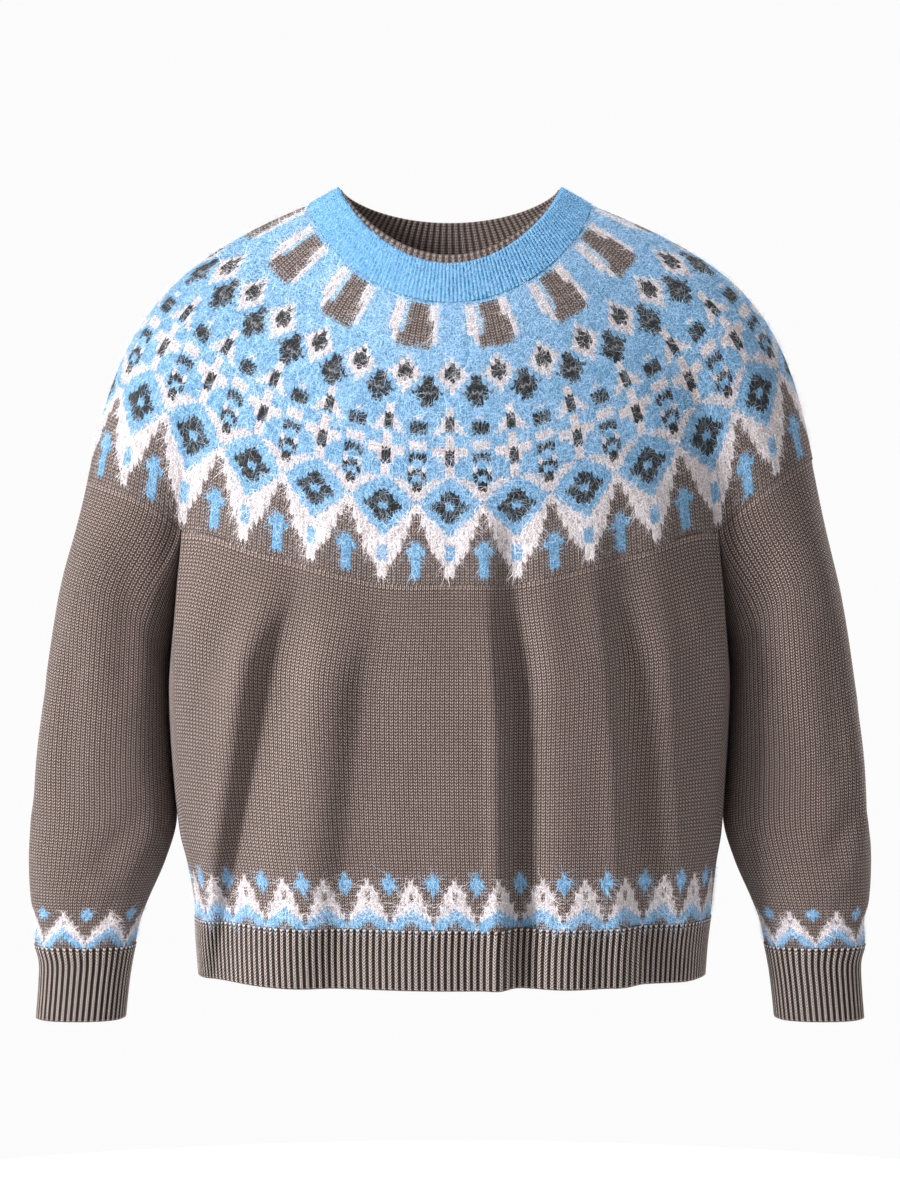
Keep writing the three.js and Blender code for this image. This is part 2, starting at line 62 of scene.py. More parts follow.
# The jumper's shape, in millimetres, as its pieces are built. Repeats of the pattern count round the yoke
# from the centre front, and units count round the body and the sleeves, a repeat wide or half an underarm.
shape = {
    "repeats": 24, "frontArmpit": 4, "backArmpit": 8, "underarmUnits": 2, "seamGap": 0.3,
    "neckSeam": {"halfWidth": 112, "front": 85, "back": 78, "height": 0, "frontDrop": 86, "backDrop": 40,
                 "power": 1.4},
    "collarEdge": {"halfWidth": 88.6, "front": 76, "back": 66, "height": 13.5, "frontDrop": 68.5,
                   "backDrop": 27, "power": 1.6},
    "creaseReach": 0.36, "creaseSoftness": 0.08, "creaseFade": 5, "shoulderTilt": 9,
    "underarm": {"bulge": 1.5, "dip": 38, "power": 0.8},
    "bodyPower": 2.35, "sleevePower": 2.3, "bodyFade": 95, "sleeveFade": 75,
    "hemSeam": -563, "hemEdge": -609, "cuffSeam": -586, "cuffEdge": -644,
}
overSleeve = shape["backArmpit"] - shape["frontArmpit"]
sleeveUnits = overSleeve + shape["underarmUnits"]
bodyUnits = shape["repeats"] - 2 * overSleeve + 2 * shape["underarmUnits"]
yokeFoot = [   # repeat, x, y, z
    (0, 0, -128, -301), (1, 52, -125, -300), (2, 106, -112, -287), (3, 158, -89, -271),
    (4, 209, -61, -247), (5, 257, -37, -223), (6, 288.5, 8, -208), (7, 257, 52, -226),
    (8, 211, 78, -250), (9, 160, 97, -271), (10, 107, 110, -282), (11, 54, 118, -288),
    (12, 0, 120, -290),
]
yokeFall = [   # repeat, degrees and pull at the neck, degrees and pull at the foot
    (0, 62, 75, 88, 80), (2, 56, 85, 87, 85), (4, 40, 108, 84, 100), (6, 21.5, 131, 79, 118),
    (8, 32, 112, 84, 105), (10, 42, 105, 88, 105), (12, 46, 100, 89, 110),
]
armpitCreases = [(4, (2, 33, -12)), (8, (0, -26, -12))]
bodySections = [   # z, x, half width, front, back
    (-250, 0, 219, 127, 119), (-314, 0, 223, 126, 120), (-393, -0.5, 222, 123, 119),
    (-441, -0.5, 219.5, 121, 118), (-497, 0.5, 214.5, 119, 117), (-521, 1.5, 209.5, 118.5, 116.5),
    (-552, 2.5, 205, 118, 116), (-584, 1.5, 202, 118, 115), (-609, 1.5, 200, 118, 115),
]
sleeveSections = [   # z, x, half width, y, half depth
    (-205, 252, 37, 12, 46), (-262, 260, 40.5, 13, 50), (-314, 268.2, 44.3, 14, 52),
    (-393, 273.8, 50.8, 15, 51), (-441, 276.2, 54.9, 14, 49), (-489, 276.2, 57.8, 11, 46),
    (-521, 281, 54, 7, 43), (-552, 286.5, 46.2, 3, 40), (-568, 287.5, 41.2, 1, 36.5),
    (-586, 289.5, 39.4, -1, 34.5), (-600, 289, 36.2, -3, 31), (-616, 290.2, 35, -4, 30),
    (-644, 292.5, 34.5, -6, 29.5),
]
bodyShare = [(0, 0), (4, 0.212), (5, 0.25), (6, 0.288), (10, 0.5)]   # unit, share of the way round
sleeveShare = {"perRepeat": 0.17, "perUnderarmUnit": 0.16, "outerSide": 0.25}
frontFolds = [   # x at the yoke and the hem, z where it starts, depth, half width
    (-117, -183, -255, 16, 17), (-56, -86, -290, 8, 27), (50, 52, -270, 16, 14), (138, 150, -260, 12, 17),
    (172, 200, -320, 5, 14),
]
backFolds = [
    (-118, -148, -280, 10, 16), (-40, -34, -300, 9, 15), (52, 61, -320, 8, 14), (126, 150, -285, 10, 17),
]
foldForm = {"growth": 130, "ridge": 0.35, "ridgeAt": 2.1, "facing": 1.5,
            "skew": 0.45}   # folds are steep towards the wearer's right and gentle towards the left
levelForm = {"top": -190, "step": 2.0, "count": 235}
levels = levelForm["top"] - levelForm["step"] * np.arange(levelForm["count"])


def smooth(value):
    held = np.clip(value, 0, 1)
    return held * held * (3 - 2 * held)


def throughRows(rows, place):   # smooth curves through every row of a table, by its first column
    rows = np.array(rows, float)
    if rows[0, 0] > rows[-1, 0]:
        rows = rows[::-1]
    keys, values = rows[:, 0], rows[:, 1:]
    last = len(keys) - 1
    ahead = np.minimum(np.arange(last + 1) + 1, last)
    behind = np.maximum(np.arange(last + 1) - 1, 0)
    slopes = (values[ahead] - values[behind]) / (keys[ahead] - keys[behind])[:, None]
    low = np.clip(np.searchsorted(keys, place, side="right") - 1, 0, last - 1)
    span = (keys[low + 1] - keys[low])[..., None]
    share = np.clip((np.asarray(place) - keys[low])[..., None] / span, 0, 1)
    square, cube = share ** 2, share ** 3
    start = (2 * cube - 3 * square + 1) * values[low] + (cube - 2 * square + share) * span * slopes[low]
    end = (3 * square - 2 * cube) * values[low + 1] + (cube - square) * span * slopes[low + 1]
    return start + end


def halfRound(count, turns):   # folds a count on to the wearer's left half
    turned = np.asarray(count, float) % turns
    side = np.where(turned <= turns / 2, 1.0, -1.0)
    return np.minimum(turned, turns - turned), side


def ovalPoint(oval, repeat):
    turn = np.asarray(repeat, float) / shape["repeats"] * 2 * math.pi
    ahead = np.cos(turn)
    reach = np.where(ahead > 0, oval["front"], oval["back"])
    drop = np.where(ahead > 0, oval["frontDrop"], oval["backDrop"])
    height = oval["height"] - drop * np.abs(ahead) ** oval["power"]
    return np.stack([oval["halfWidth"] * np.sin(turn), -reach * ahead, height], -1)


def footBeforeCrease(repeat):
    rows = [(-1, -yokeFoot[1][1], *yokeFoot[1][2:]), *yokeFoot, (13, -yokeFoot[-2][1], *yokeFoot[-2][2:])]
    place, side = halfRound(repeat, shape["repeats"])
    foot = throughRows(rows, place)
    onSleeve = (place > shape["frontArmpit"]) & (place < shape["backArmpit"])
    lift = np.where(onSleeve, np.sin((place - shape["frontArmpit"]) / overSleeve * math.pi) ** 2, 0)
    foot[..., 2] += side * shape["shoulderTilt"] * lift
    foot[..., 0] *= side
    return foot


def creaseShift(repeat):
    place, side = halfRound(repeat, shape["repeats"])
    shift = np.zeros((*place.shape, 3))
    for at, move in armpitCreases:
        away = np.hypot(place - at, shape["creaseSoftness"]) - shape["creaseSoftness"]
        share = np.exp(-away / shape["creaseReach"])[..., None]
        moved = np.tile(np.array(move, float), (*place.shape, 1))
        moved[..., 0] *= side
        shift += share * moved
    return shift


def footPoint(repeat):
    return footBeforeCrease(repeat) + creaseShift(repeat)


curveSteps = 120
ovalSteps = 64


def yokeSheet(repeat, samples):   # rows of points down the yoke, even along the cloth
    neck = ovalPoint(shape["neckSeam"], repeat)
    foot = footBeforeCrease(repeat)
    fall = throughRows(yokeFall, halfRound(repeat, shape["repeats"])[0])
    outward = (foot - neck) * (1, 1, 0)
    outward /= np.linalg.norm(outward, axis=-1, keepdims=True)

    def pull(degrees, length):
        slope = np.radians(degrees)[:, None]
        return (outward * np.cos(slope) - np.array([0, 0, 1]) * np.sin(slope)) * length[:, None]

    corners = [neck, neck + pull(fall[:, 0], fall[:, 1]), foot - pull(fall[:, 2], fall[:, 3]), foot]
    along = np.linspace(0, 1, curveSteps + 1)[None, :, None]
    parts = [(1 - along) ** 3, 3 * (1 - along) ** 2 * along, 3 * (1 - along) * along ** 2, along ** 3]
    curve = sum(part * corner[:, None] for part, corner in zip(parts, corners))
    steps = np.linalg.norm(np.diff(curve, axis=1), axis=-1)
    lengths = np.concatenate([np.zeros((len(curve), 1)), np.cumsum(steps, axis=1)], axis=1)
    down = np.linspace(0, 1, samples)
    points = np.empty((len(curve), samples, 3))
    for column, (line, length) in enumerate(zip(curve, lengths)):
        for axis in range(3):
            points[column, :, axis] = np.interp(down * length[-1], length, line[:, axis])
    return points + creaseShift(repeat)[:, None] * (down ** shape["creaseFade"])[None, :, None]


def underarmPoint(along):
    front, back = footPoint(shape["frontArmpit"]), footPoint(shape["backArmpit"])
    along = np.asarray(along, float)[..., None]
    middle = np.sin(math.pi * np.clip(along, 0, 1))
    lowered = np.array([1.0, 0, 0]) * shape["underarm"]["bulge"] * middle
    dip = shape["underarm"]["dip"] * middle ** shape["underarm"]["power"]
    return front + (back - front) * along + lowered - np.array([0, 0, 1.0]) * dip


def sectionLine(halfWidth, front, back, power, share):   # a level oval, entered by share of its length
    turn = np.linspace(0, math.pi / 2, ovalSteps + 1)
    across = halfWidth * np.sin(turn) ** (2 / power)
    ahead = np.clip(np.cos(turn), 0, 1) ** (2 / power)
    x = np.concatenate([across, across[::-1][1:]])
    y = np.concatenate([-front * ahead, back * ahead[::-1][1:]])
    lengths = np.concatenate([[0], np.cumsum(np.hypot(np.diff(x), np.diff(y)))])
    turned = share % 1
    wanted = np.minimum(turned, 1 - turned) * 2 * lengths[-1]
    side = np.where(turned <= 0.5, 1, -1)
    return side * np.interp(wanted, lengths, x), np.interp(wanted, lengths, y)


def foldShift(folds, x, z):
    shift = np.zeros_like(x)
    for topX, hemX, startZ, depth, half in folds:
        down = (startZ - z) / (startZ - shape["hemEdge"])
        away = x - topX - (hemX - topX) * down
        away = away / (half * (1 + foldForm["skew"] * np.sign(away)))
        grown = depth * smooth((startZ - z) / foldForm["growth"])
        ridge = foldForm["ridge"] * np.exp(-(np.abs(away) - foldForm["ridgeAt"]) ** 2)
        shift += grown * (ridge - np.exp(-away * away))
    return shift


def bodyStack(unit):   # the body's level sections, one row of points for each level
    place, side = halfRound(unit, bodyUnits)
    share = np.interp(place, *zip(*bodyShare))
    stack = np.empty((len(levels), len(place), 3))
    for index, z in enumerate(levels):
        x, halfWidth, front, back = throughRows(bodySections, np.array([z]))[0]
        flatX, flatY = sectionLine(halfWidth, front, back, shape["bodyPower"], share)
        worldX = x + side * flatX
        shift = np.where(flatY < 0, foldShift(frontFolds, worldX, z), foldShift(backFolds, worldX, z))
        facing = np.abs(flatY) / np.where(flatY < 0, front, back)
        pushed = flatY + np.sign(flatY) * shift * smooth(facing * foldForm["facing"])
        stack[index] = np.stack([worldX, pushed, np.full(len(place), z)], -1)
    return stack


def sleeveStack(unit):
    over, under = np.minimum(unit, overSleeve), np.maximum(unit - overSleeve, 0)
    repeat, underarmUnit = sleeveShare["perRepeat"], sleeveShare["perUnderarmUnit"]
    share = sleeveShare["outerSide"] + repeat * over + underarmUnit * under - repeat * overSleeve / 2
    stack = np.empty((len(levels), len(unit), 3))
    for index, z in enumerate(levels):
        x, halfWidth, y, halfDepth = throughRows(sleeveSections, np.array([z]))[0]
        flatX, flatY = sectionLine(halfWidth, halfDepth, halfDepth, shape["sleevePower"], share)
        stack[index] = np.stack([x + flatX, y + flatY, np.full(len(unit), z)], -1)
    return stack


def atLevel(stack, z):   # z holds one row of heights for each column
    place = np.clip((levelForm["top"] - z) / levelForm["step"], 0, len(levels) - 1.001)
    low = place.astype(int)
    part = (place - low)[..., None]
    column = np.arange(stack.shape[1])[:, None]
    point = stack[low, column] * (1 - part) + stack[low + 1, column] * part
    point[..., 2] = z
    return point


def hangingSheet(stack, top, z, fade):   # eases from the level sections to the piece's own top edge
    points = atLevel(stack, z)
    atTop = atLevel(stack, top[:, 2:3])
    ease = 1 - smooth((top[:, 2:3] - z) / fade)
    points[..., :2] += (top[:, None, :2] - atTop[..., :2]) * ease[..., None]
    return points


def bodyTop(unit):
    place, side = halfRound(unit, bodyUnits)
    underEnd = shape["frontArmpit"] + shape["underarmUnits"]
    repeat = np.where(place <= shape["frontArmpit"], place, place + shape["backArmpit"] - underEnd)
    top = footPoint(side * repeat)
    under = underarmPoint((place - shape["frontArmpit"]) / shape["underarmUnits"])
    under[..., 0] = side * (under[..., 0] - shape["seamGap"] / 2)
    return np.where(((place > shape["frontArmpit"]) & (place < underEnd))[:, None], under, top)


def sleeveTop(unit, side):
    over = footPoint(side * (shape["frontArmpit"] + unit))
    over[..., 0] *= side
    under = underarmPoint((sleeveUnits - unit) / shape["underarmUnits"])
    under[..., 0] += shape["seamGap"] / 2
    return np.where((unit > overSleeve)[:, None], under, over)


def rowHeights(topZ, seamZ, knit):   # knitted rows are even above the seam
    rows, evenRows, rowHeight = knit["rows"], knit["evenRows"], knit["rowHeight"]
    row = np.linspace(0, rows, 2 * rows + 1)[None, :]
    evenTop = seamZ + evenRows * rowHeight
    upper = topZ[:, None] + (evenTop - topZ[:, None]) * row / (rows - evenRows)
    return np.where(row < rows - evenRows, upper, seamZ + (rows - row) * rowHeight)


dentForm = {"fadeRate": 1.6, "fadeAtEnds": 0.35, "ridgeAt": 2}


def dents(points, normals, folds):   # soft troughs and ridges between two places, in millimetres
    for start, end, depth, half, ridge in folds:
        start, end = np.array(start, float), np.array(end, float)
        run = end - start
        along = ((points - start) @ run) / (run @ run)
        nearest = start + np.clip(along, 0, 1)[..., None] * run
        away = np.linalg.norm(points - nearest, axis=-1) / half
        fade = smooth(dentForm["fadeRate"] * (1 - np.abs(along * 2 - 1)) + dentForm["fadeAtEnds"])
        trough = np.exp(-away * away) - ridge * np.exp(-(away - dentForm["ridgeAt"]) ** 2)
        points = points - normals * (depth * trough * fade)[..., None]
    return points


def softened(normals, reach=24):   # averaged round the piece, so that folds don't pull their own walls apart
    total = sum(np.roll(normals, step, 0) for step in range(-reach, reach + 1))
    return total / np.maximum(np.linalg.norm(total, axis=-1, keepdims=True), 1e-9)


def surfaceNormals(points, level=False):   # of a sheet that closes on itself, flat round a level tube
    across = np.roll(points, -1, 0) - np.roll(points, 1, 0)
    normals = np.cross(across, np.gradient(-points, axis=1))
    if level:
        normals[..., 2] = 0
    length = np.linalg.norm(normals, axis=-1, keepdims=True)
    return normals / np.maximum(length, 1e-9)


class Sheet:   # a cloth surface that goes all round, sampled by column and row
    overrun = 1.05   # how far a stitch may reach past the last row, as a share of the rows

    def __init__(self, points, rows, level=False, folds=()):
        normals = surfaceNormals(points, level)
        if folds:
            points = dents(points, softened(normals), folds)
            normals = surfaceNormals(points, level)
        self.points, self.normals, self.rows = points, normals, rows

    def at(self, column, row):
        count, samples = self.points.shape[:2]
        place = np.clip(np.asarray(row, float) / self.rows, 0, self.overrun) * (samples - 1)
        low = np.minimum(place.astype(int), samples - 2)
        part = (place - low)[..., None]
        column = column % count
        point = self.points[column, low] * (1 - part) + self.points[column, low + 1] * part
        normal = self.normals[column, low] * (1 - part) + self.normals[column, low + 1] * part
        return point, normal / np.linalg.norm(normal, axis=-1, keepdims=True)


# Yarns, as they look in soft light: colour and how much halo they have
yarns = {
    ".": ("#e0c9c1", 0.0),   # taupe brown
    "h": ("#f0ddd4", 0.0),   # the same yarn on the crown of a rib, lighter as painted light
    "y": ("#c8b4ad", 0.1),   # the same brown in the yoke, brushed
    "b": ("#7dbae8", 1.0),   # sky blue
    "d": ("#70b8ea", 1.0),   # the collar's sky blue
    "p": ("#a6c8e6", 1.0),   # blue with white fibres over it
    "w": ("#eee3e6", 1.0),   # off-white with a pink tinge
    "k": ("#35373c", 0.4),   # charcoal
    "s": ("#8d9096", 0.6),   # off-white seen through charcoal fibres
    "r": ("#8f99a6", 0.5),   # reverse of the colourwork
    "f": ("#93827b", 0.0),   # the facing's brown, a shade darker
    "g": ("#5f524c", 0.0),   # the purl side between ribs, darker as painted shade in the grooves
    "c": ("#6fb4ea", 1.0),   # the purl side between the collar's ribs and inside the collar, a touch darker as painted shade
}


def linear(code):
    parts = np.array([int(code[at:at + 2], 16) for at in (1, 3, 5)]) / 255
    return np.where(parts <= 0.04045, parts / 12.92, ((parts + 0.055) / 1.055) ** 2.4)


yarnKeys = list(yarns)
yarnColours = np.array([[*linear(code), halo] for code, halo in yarns.values()])
yarnIndex = {key: index for index, key in enumerate(yarnKeys)}


def charted(words):   # one row of yarns for each word, counted down
    return np.array([[yarnIndex[key] for key in word] for word in words])


# First tier: brown blocks between off-white stripes on blue, a whole repeat of 14 stitches
blockChart = charted(
    ["bbbbbbbbbbbbbb"] + 6 * ["wwp....wwbbbbb"] + 5 * ["wwp.....wbbbbb"] + 3 * ["bw......wbbbbb"]
    + ["bp......pbbbbb", "bb......bbbbbb", "bbbbbbbbbbbbbb"])

# Second tier: flowers in off-white, with charcoal rosettes between them, 9 stitches, from a flower's middle
flowerHalf = charted("""
bbbbb wbbbb wbbbb kwbbb kwbbb kkwbb kkwbb kkwwb kkwbk kwwbk
wwbbk wwbkk wbbkk wbkks bbbkk bbbkk bbbbk bbbbk
""".split())

# Third tier: crosses, bars, blue diamonds and the zigzag on brown, 14 stitches, half of them charted
diamondHalf = charted("""
wbbbbbb wbbbbbb wbbbbbb kbbbbbw kwbbbbb kwbbbkk kwwbbkk kwwbbkk bbwwbkk wbbbbbb
wbbbbbb wbbbbww wbbbbww wwwwbww kwwwbbb kwwwbkk kwbbbkk kwbbbkb kbbbbbb wbbbbwb
wbbbbwk wbbbbkk wbbbbkb bwwwbkb bbwwwbk bbbwwwk bbbbwwk kbbbbww kkbbbww kkbbbbw
kkkbbbb bkkkbbw bkkkbbw kkkbbww kkbbbw. kkbbww. kbbwww. bbbwww. bbwww.. bwwww..
bwwww.. wwwww.. wwww... wwww..b bwww..b bwww.bb bww..bb bww...b bw....b ww....b
w.....b w.....b w.....b w.....b ....... .......
""".split())

# Bands above the hem and the cuffs: peaks over a blue chevron, stars between them, from a peak's middle
hemHalf = charted("""
.....b .....b w...bb w...bb ww..bb ww...b .ww..b .ww... .ww... www... wwww.. bwww.. bbww.. bbbww.
bbbbw. .bbbb. ..bbbb ...bbw
""".split())
cuffHalf = charted("""
......b w....bb w....bb ww....b .ww.... www.... bwww... bbwww.. bbbww.. .bbbww. ..bbbw. ...bbbw ....bbw
""".split())


# Each yarn function takes places round, two to a stitch, and rows down
def wholeRepeat(chart, shift):
    def yarn(place, row):
        return chart[row, (place // 2 + shift) % chart.shape[1]]
    return yarn


def mirroredRepeat(half, repeat, onStitch=True):   # mirrored on its first stitch, or just before it
    last = repeat if onStitch else repeat - 1

    def yarn(place, row):
        stitch = place // 2 % repeat
        return half[row, np.minimum(stitch, last - stitch)]
    return yarn


def band(half, repeat, rows):   # a band of colourwork at the foot of a brown piece
    inner = mirroredRepeat(half, repeat)

    def yarn(place, row):
        inBand = row >= rows - len(half)
        return np.where(inBand, inner(place, np.where(inBand, row - rows + len(half), 0)), yarnIndex["."])
    return yarn


# Shared knitting: how deep the columns of stitches are, how far their middles drop, how far the last row's
# stitches stand over the next piece, where the rim lies in the wall, and where the first row's stitches start
stitchForm = {"profile": (-0.32, 0.12), "drop": 0.92, "teeth": 0.12, "rimDepth": 0.45, "easeRows": 1.5,
              "seamRow": (0.12, 0.25)}


def gridMesh(name, columns, rows):
    bm = bmesh.new()
    bm.loops.layers.uv.new("stitch")
    bmesh.ops.create_grid(bm, x_segments=columns, y_segments=rows, size=1, calc_uvs=True)
    mesh = bpy.data.meshes.new(name)
    bm.to_mesh(mesh)
    bm.free()
    count = len(mesh.vertices)
    flat = np.empty(count * 3)
    mesh.vertices.foreach_get("co", flat)
    flat = flat.reshape(-1, 3)
    column = np.rint((flat[:, 0] + 1) / 2 * columns).astype(int)
    row = np.rint((flat[:, 1] + 1) / 2 * rows).astype(int)
    corners = np.empty(len(mesh.loops), dtype=np.int32)
    mesh.loops.foreach_get("vertex_index", corners)
    return mesh, column, row, corners


def fillMesh(mesh, positions, uv, colour):
    mesh.vertices.foreach_set("co", (positions * mm).ravel())
    mesh.uv_layers["stitch"].data.foreach_set("uv", uv.ravel())
    layer = mesh.color_attributes.new("yarn", "FLOAT_COLOR", "CORNER")
    layer.data.foreach_set("color", colour.ravel())


def linkPiece(name, mesh, material):
    mesh.materials.append(material)
    piece = bpy.data.objects.new(name, mesh)
    bpy.context.scene.collection.objects.link(piece)
    return piece


def closeShell(mesh, sheetOf):   # sheetOf says which side of the cloth a face is on: crisp edges lie between
    mesh.attributes.new("side", "INT", "FACE").data.foreach_set("value", sheetOf)
    bm = bmesh.new()
    bm.from_mesh(mesh)
    bmesh.ops.remove_doubles(bm, verts=bm.verts, dist=1e-6)
    openEnds = [edge for edge in bm.edges if edge.is_boundary]
    if openEnds:
        bmesh.ops.holes_fill(bm, edges=openEnds, sides=0)
    if bm.calc_volume(signed=True) < 0:
        bmesh.ops.reverse_faces(bm, faces=bm.faces)
    for face in bm.faces:
        face.smooth = True
    side = bm.faces.layers.int["side"]
    for edge in bm.edges:
        edge.smooth = len({face[side] for face in edge.link_faces}) == 1
    bm.to_mesh(mesh)
    bm.free()


def shellPlaces(zones, row, column, columns, outerRows, shell):
    positions = np.zeros((len(column), 3))
    starts = np.cumsum([0] + [zone["rows"] for zone in zones])
    zoneOf = np.clip(np.searchsorted(starts, row, side="right") - 1, 0, len(zones) - 1)
    profile = np.array(shell["profile"])
    middle = len(profile) // 2   # the column of each stitch or rib whose rows are dropped
    for index, zone in enumerate(zones):
        chosen = (row <= outerRows) & (zoneOf == index)
        place = (column[chosen] * zone["columns"] / columns + 0.5).astype(int)
        ends = row[chosen] if shell["teeth"] else np.minimum(row[chosen], outerRows - row[chosen])
        eased = np.clip(ends / stitchForm["easeRows"], 0, 1)
        kind = place % len(profile)
        down = row[chosen] + (kind == middle) * stitchForm["drop"] * eased
        point, normal = zone["sheet"].at(place, down)
        over = np.where(row[chosen] == outerRows, shell["teeth"] * eased, 0)
        positions[chosen] = point + normal * (profile[kind] + over)[:, None]

    under, wall = zones[-1]["sheet"], shell["wall"]
    first, last, innerRows, innerStep = column.min(), column.max(), shell["innerRows"], shell["innerStep"]
    coarse = np.rint((column - first) / innerStep).astype(int) * innerStep + first
    coarse = np.clip(coarse, first, last)
    inner = (row >= outerRows + 2) & (row <= outerRows + 2 + innerRows)
    back = outerRows * (1 - (row[inner] - outerRows - 2) / innerRows)
    point, normal = under.at(coarse[inner], back)
    ribs = np.array(shell["inside"] or (0.0,))
    positions[inner] = point - normal * (wall + ribs[coarse[inner] % len(ribs)])[:, None]
    rows = outerRows + innerRows + 4
    top, foot = shell["rims"]
    for edge, edgeRow, rimRow, sign in ((foot, outerRows, outerRows + 1, 1), (top, 0, rows - 1, -1)):
        chosen = row == rimRow
        point, normal = under.at(column[chosen], np.full(chosen.sum(), edgeRow))
        beside, _ = under.at(column[chosen], np.full(chosen.sum(), edgeRow - sign))
        along = point - beside
        along /= np.linalg.norm(along, axis=-1, keepdims=True)
        positions[chosen] = point - normal * wall * stitchForm["rimDepth"] + along * edge
    closing = row == rows
    place = (column[closing] * zones[0]["columns"] / columns + 0.5).astype(int)
    point, normal = zones[0]["sheet"].at(place, np.zeros(closing.sum()))
    positions[closing] = point + normal * profile[place % len(profile)][:, None]
    return positions


plainShell = {"wall": 3, "innerRows": 12, "innerStep": 2, "rims": (0, 0), "profile": stitchForm["profile"],
              "inside": None, "reverse": ".", "teeth": 0.0}


def knitShell(name, zones, material, settings, span=None, mirrored=False):
    # zones: rows, columns round, sheet, yarn for a stitch and row. Later zones lie further down.
    # rows run down the outside, over the foot's rim, up the inside and over the top rim to the first row
    shell = {**plainShell, **settings}
    columns = max(zone["columns"] for zone in zones)
    first, last = span or (0, columns)
    outerRows = sum(zone["rows"] for zone in zones)
    rows = outerRows + shell["innerRows"] + 4
    mesh, column, row, corners = gridMesh(name, last - first, rows)
    column = column + first
    positions = shellPlaces(zones, row, column, columns, outerRows, shell)
    if mirrored:
        positions[:, 0] *= -1

    faceRow = row[corners].reshape(-1, 4).min(1)
    faceColumn = column[corners].reshape(-1, 4).min(1)
    uv = np.zeros((len(corners), 2))
    yarn = np.full(len(faceRow), yarnIndex[shell["reverse"]])
    start = 0
    for zone in zones:
        chosen = (faceRow >= start) & (faceRow < start + zone["rows"])
        place = (faceColumn[chosen] * zone["columns"] / columns + 0.5).astype(int)
        yarn[chosen] = zone["yarn"](place, faceRow[chosen] - start)
        loops = np.repeat(chosen, 4)
        uv[loops, 0] = (column[corners[loops]] * zone["columns"] / columns + 0.5).astype(int)
        down = row[corners[loops]].astype(float)
        atSeam = np.repeat((faceRow[chosen] == 0) & (shell["teeth"] > 0), 4)
        seamDown = stitchForm["seamRow"][0] + stitchForm["seamRow"][1] * down   # no line of painted gap shade along a seam
        uv[loops, 1] = np.where(atSeam, seamDown, down)
        start += zone["rows"]
    lining = faceRow >= outerRows
    if shell["inside"]:
        yarn[lining] = zones[-1]["yarn"](faceColumn[lining], faceRow[lining])
    within = np.repeat(lining, 4)
    uv[within, 0] = column[corners[within]] * (1 if shell["inside"] else 0.5)
    uv[within, 1] = row[corners[within]] * outerRows / shell["innerRows"]
    rimRows = (outerRows, outerRows + 1, rows - 2, rows - 1)
    sheetOf = np.where(faceRow < outerRows, 0, np.where(np.isin(faceRow, rimRows), 1, 2))
    for rim, atRim in zip(shell["rims"], (rimRows[2:], rimRows[:2])):
        if rim:
            sheetOf[np.isin(faceRow, atRim)] = 0   # an edge that shows is rounded
    fillMesh(mesh, positions, uv, np.repeat(yarnColours[yarn], 4, axis=0))
    closeShell(mesh, sheetOf)
    return linkPiece(name, mesh, material)


# Hairs of the brushed yarns, in millimetres. Those of yarn with little halo are toned down.
hairForm = {
    "width": 0.14, "droop": 0.25, "root": 0.1, "lift": (0.3, 1.9), "tipLift": (-0.4, 0.8), "bend": 0.7,
    "narrowing": 0.8, "tone": 0.9, "toneRange": 0.2, "plainHalo": 0.37, "plainTone": 0.5,
    "fromRow": 0.2, "toRow": 0.4}


def hairRoots(zones, count, density):   # where hairs stand: point, outwards, across, down and tone of each
    starts = np.cumsum([0] + [zone["rows"] for zone in zones])
    made = 0
    found = []
    while made < count:
        row = draws.uniform(hairForm["fromRow"], starts[-1] - hairForm["toRow"], count)
        turn = draws.uniform(0, 1, count)
        keep = draws.uniform(0, 1, count)
        for index, zone in enumerate(zones):
            chosen = (row >= starts[index]) & (row < starts[index + 1])
            place = (turn[chosen] * zone["columns"]).astype(int)
            yarn = zone["yarn"](place, (row[chosen] - starts[index]).astype(int))
            weight = np.array([density.get(key, 0) for key in yarnKeys])[yarn]
            kept = keep[chosen] < weight
            place, down, yarn = place[kept], row[chosen][kept], yarn[kept]
            point, normal = zone["sheet"].at(place, down)
            beyond, _ = zone["sheet"].at(place + 1, down)
            below, _ = zone["sheet"].at(place, down + 1)
            found.append((point, normal, beyond - point, below - point, yarnColours[yarn]))
            made += len(yarn)
    order = draws.permutation(made)[:count]
    return [np.concatenate(part)[order] for part in zip(*found)]


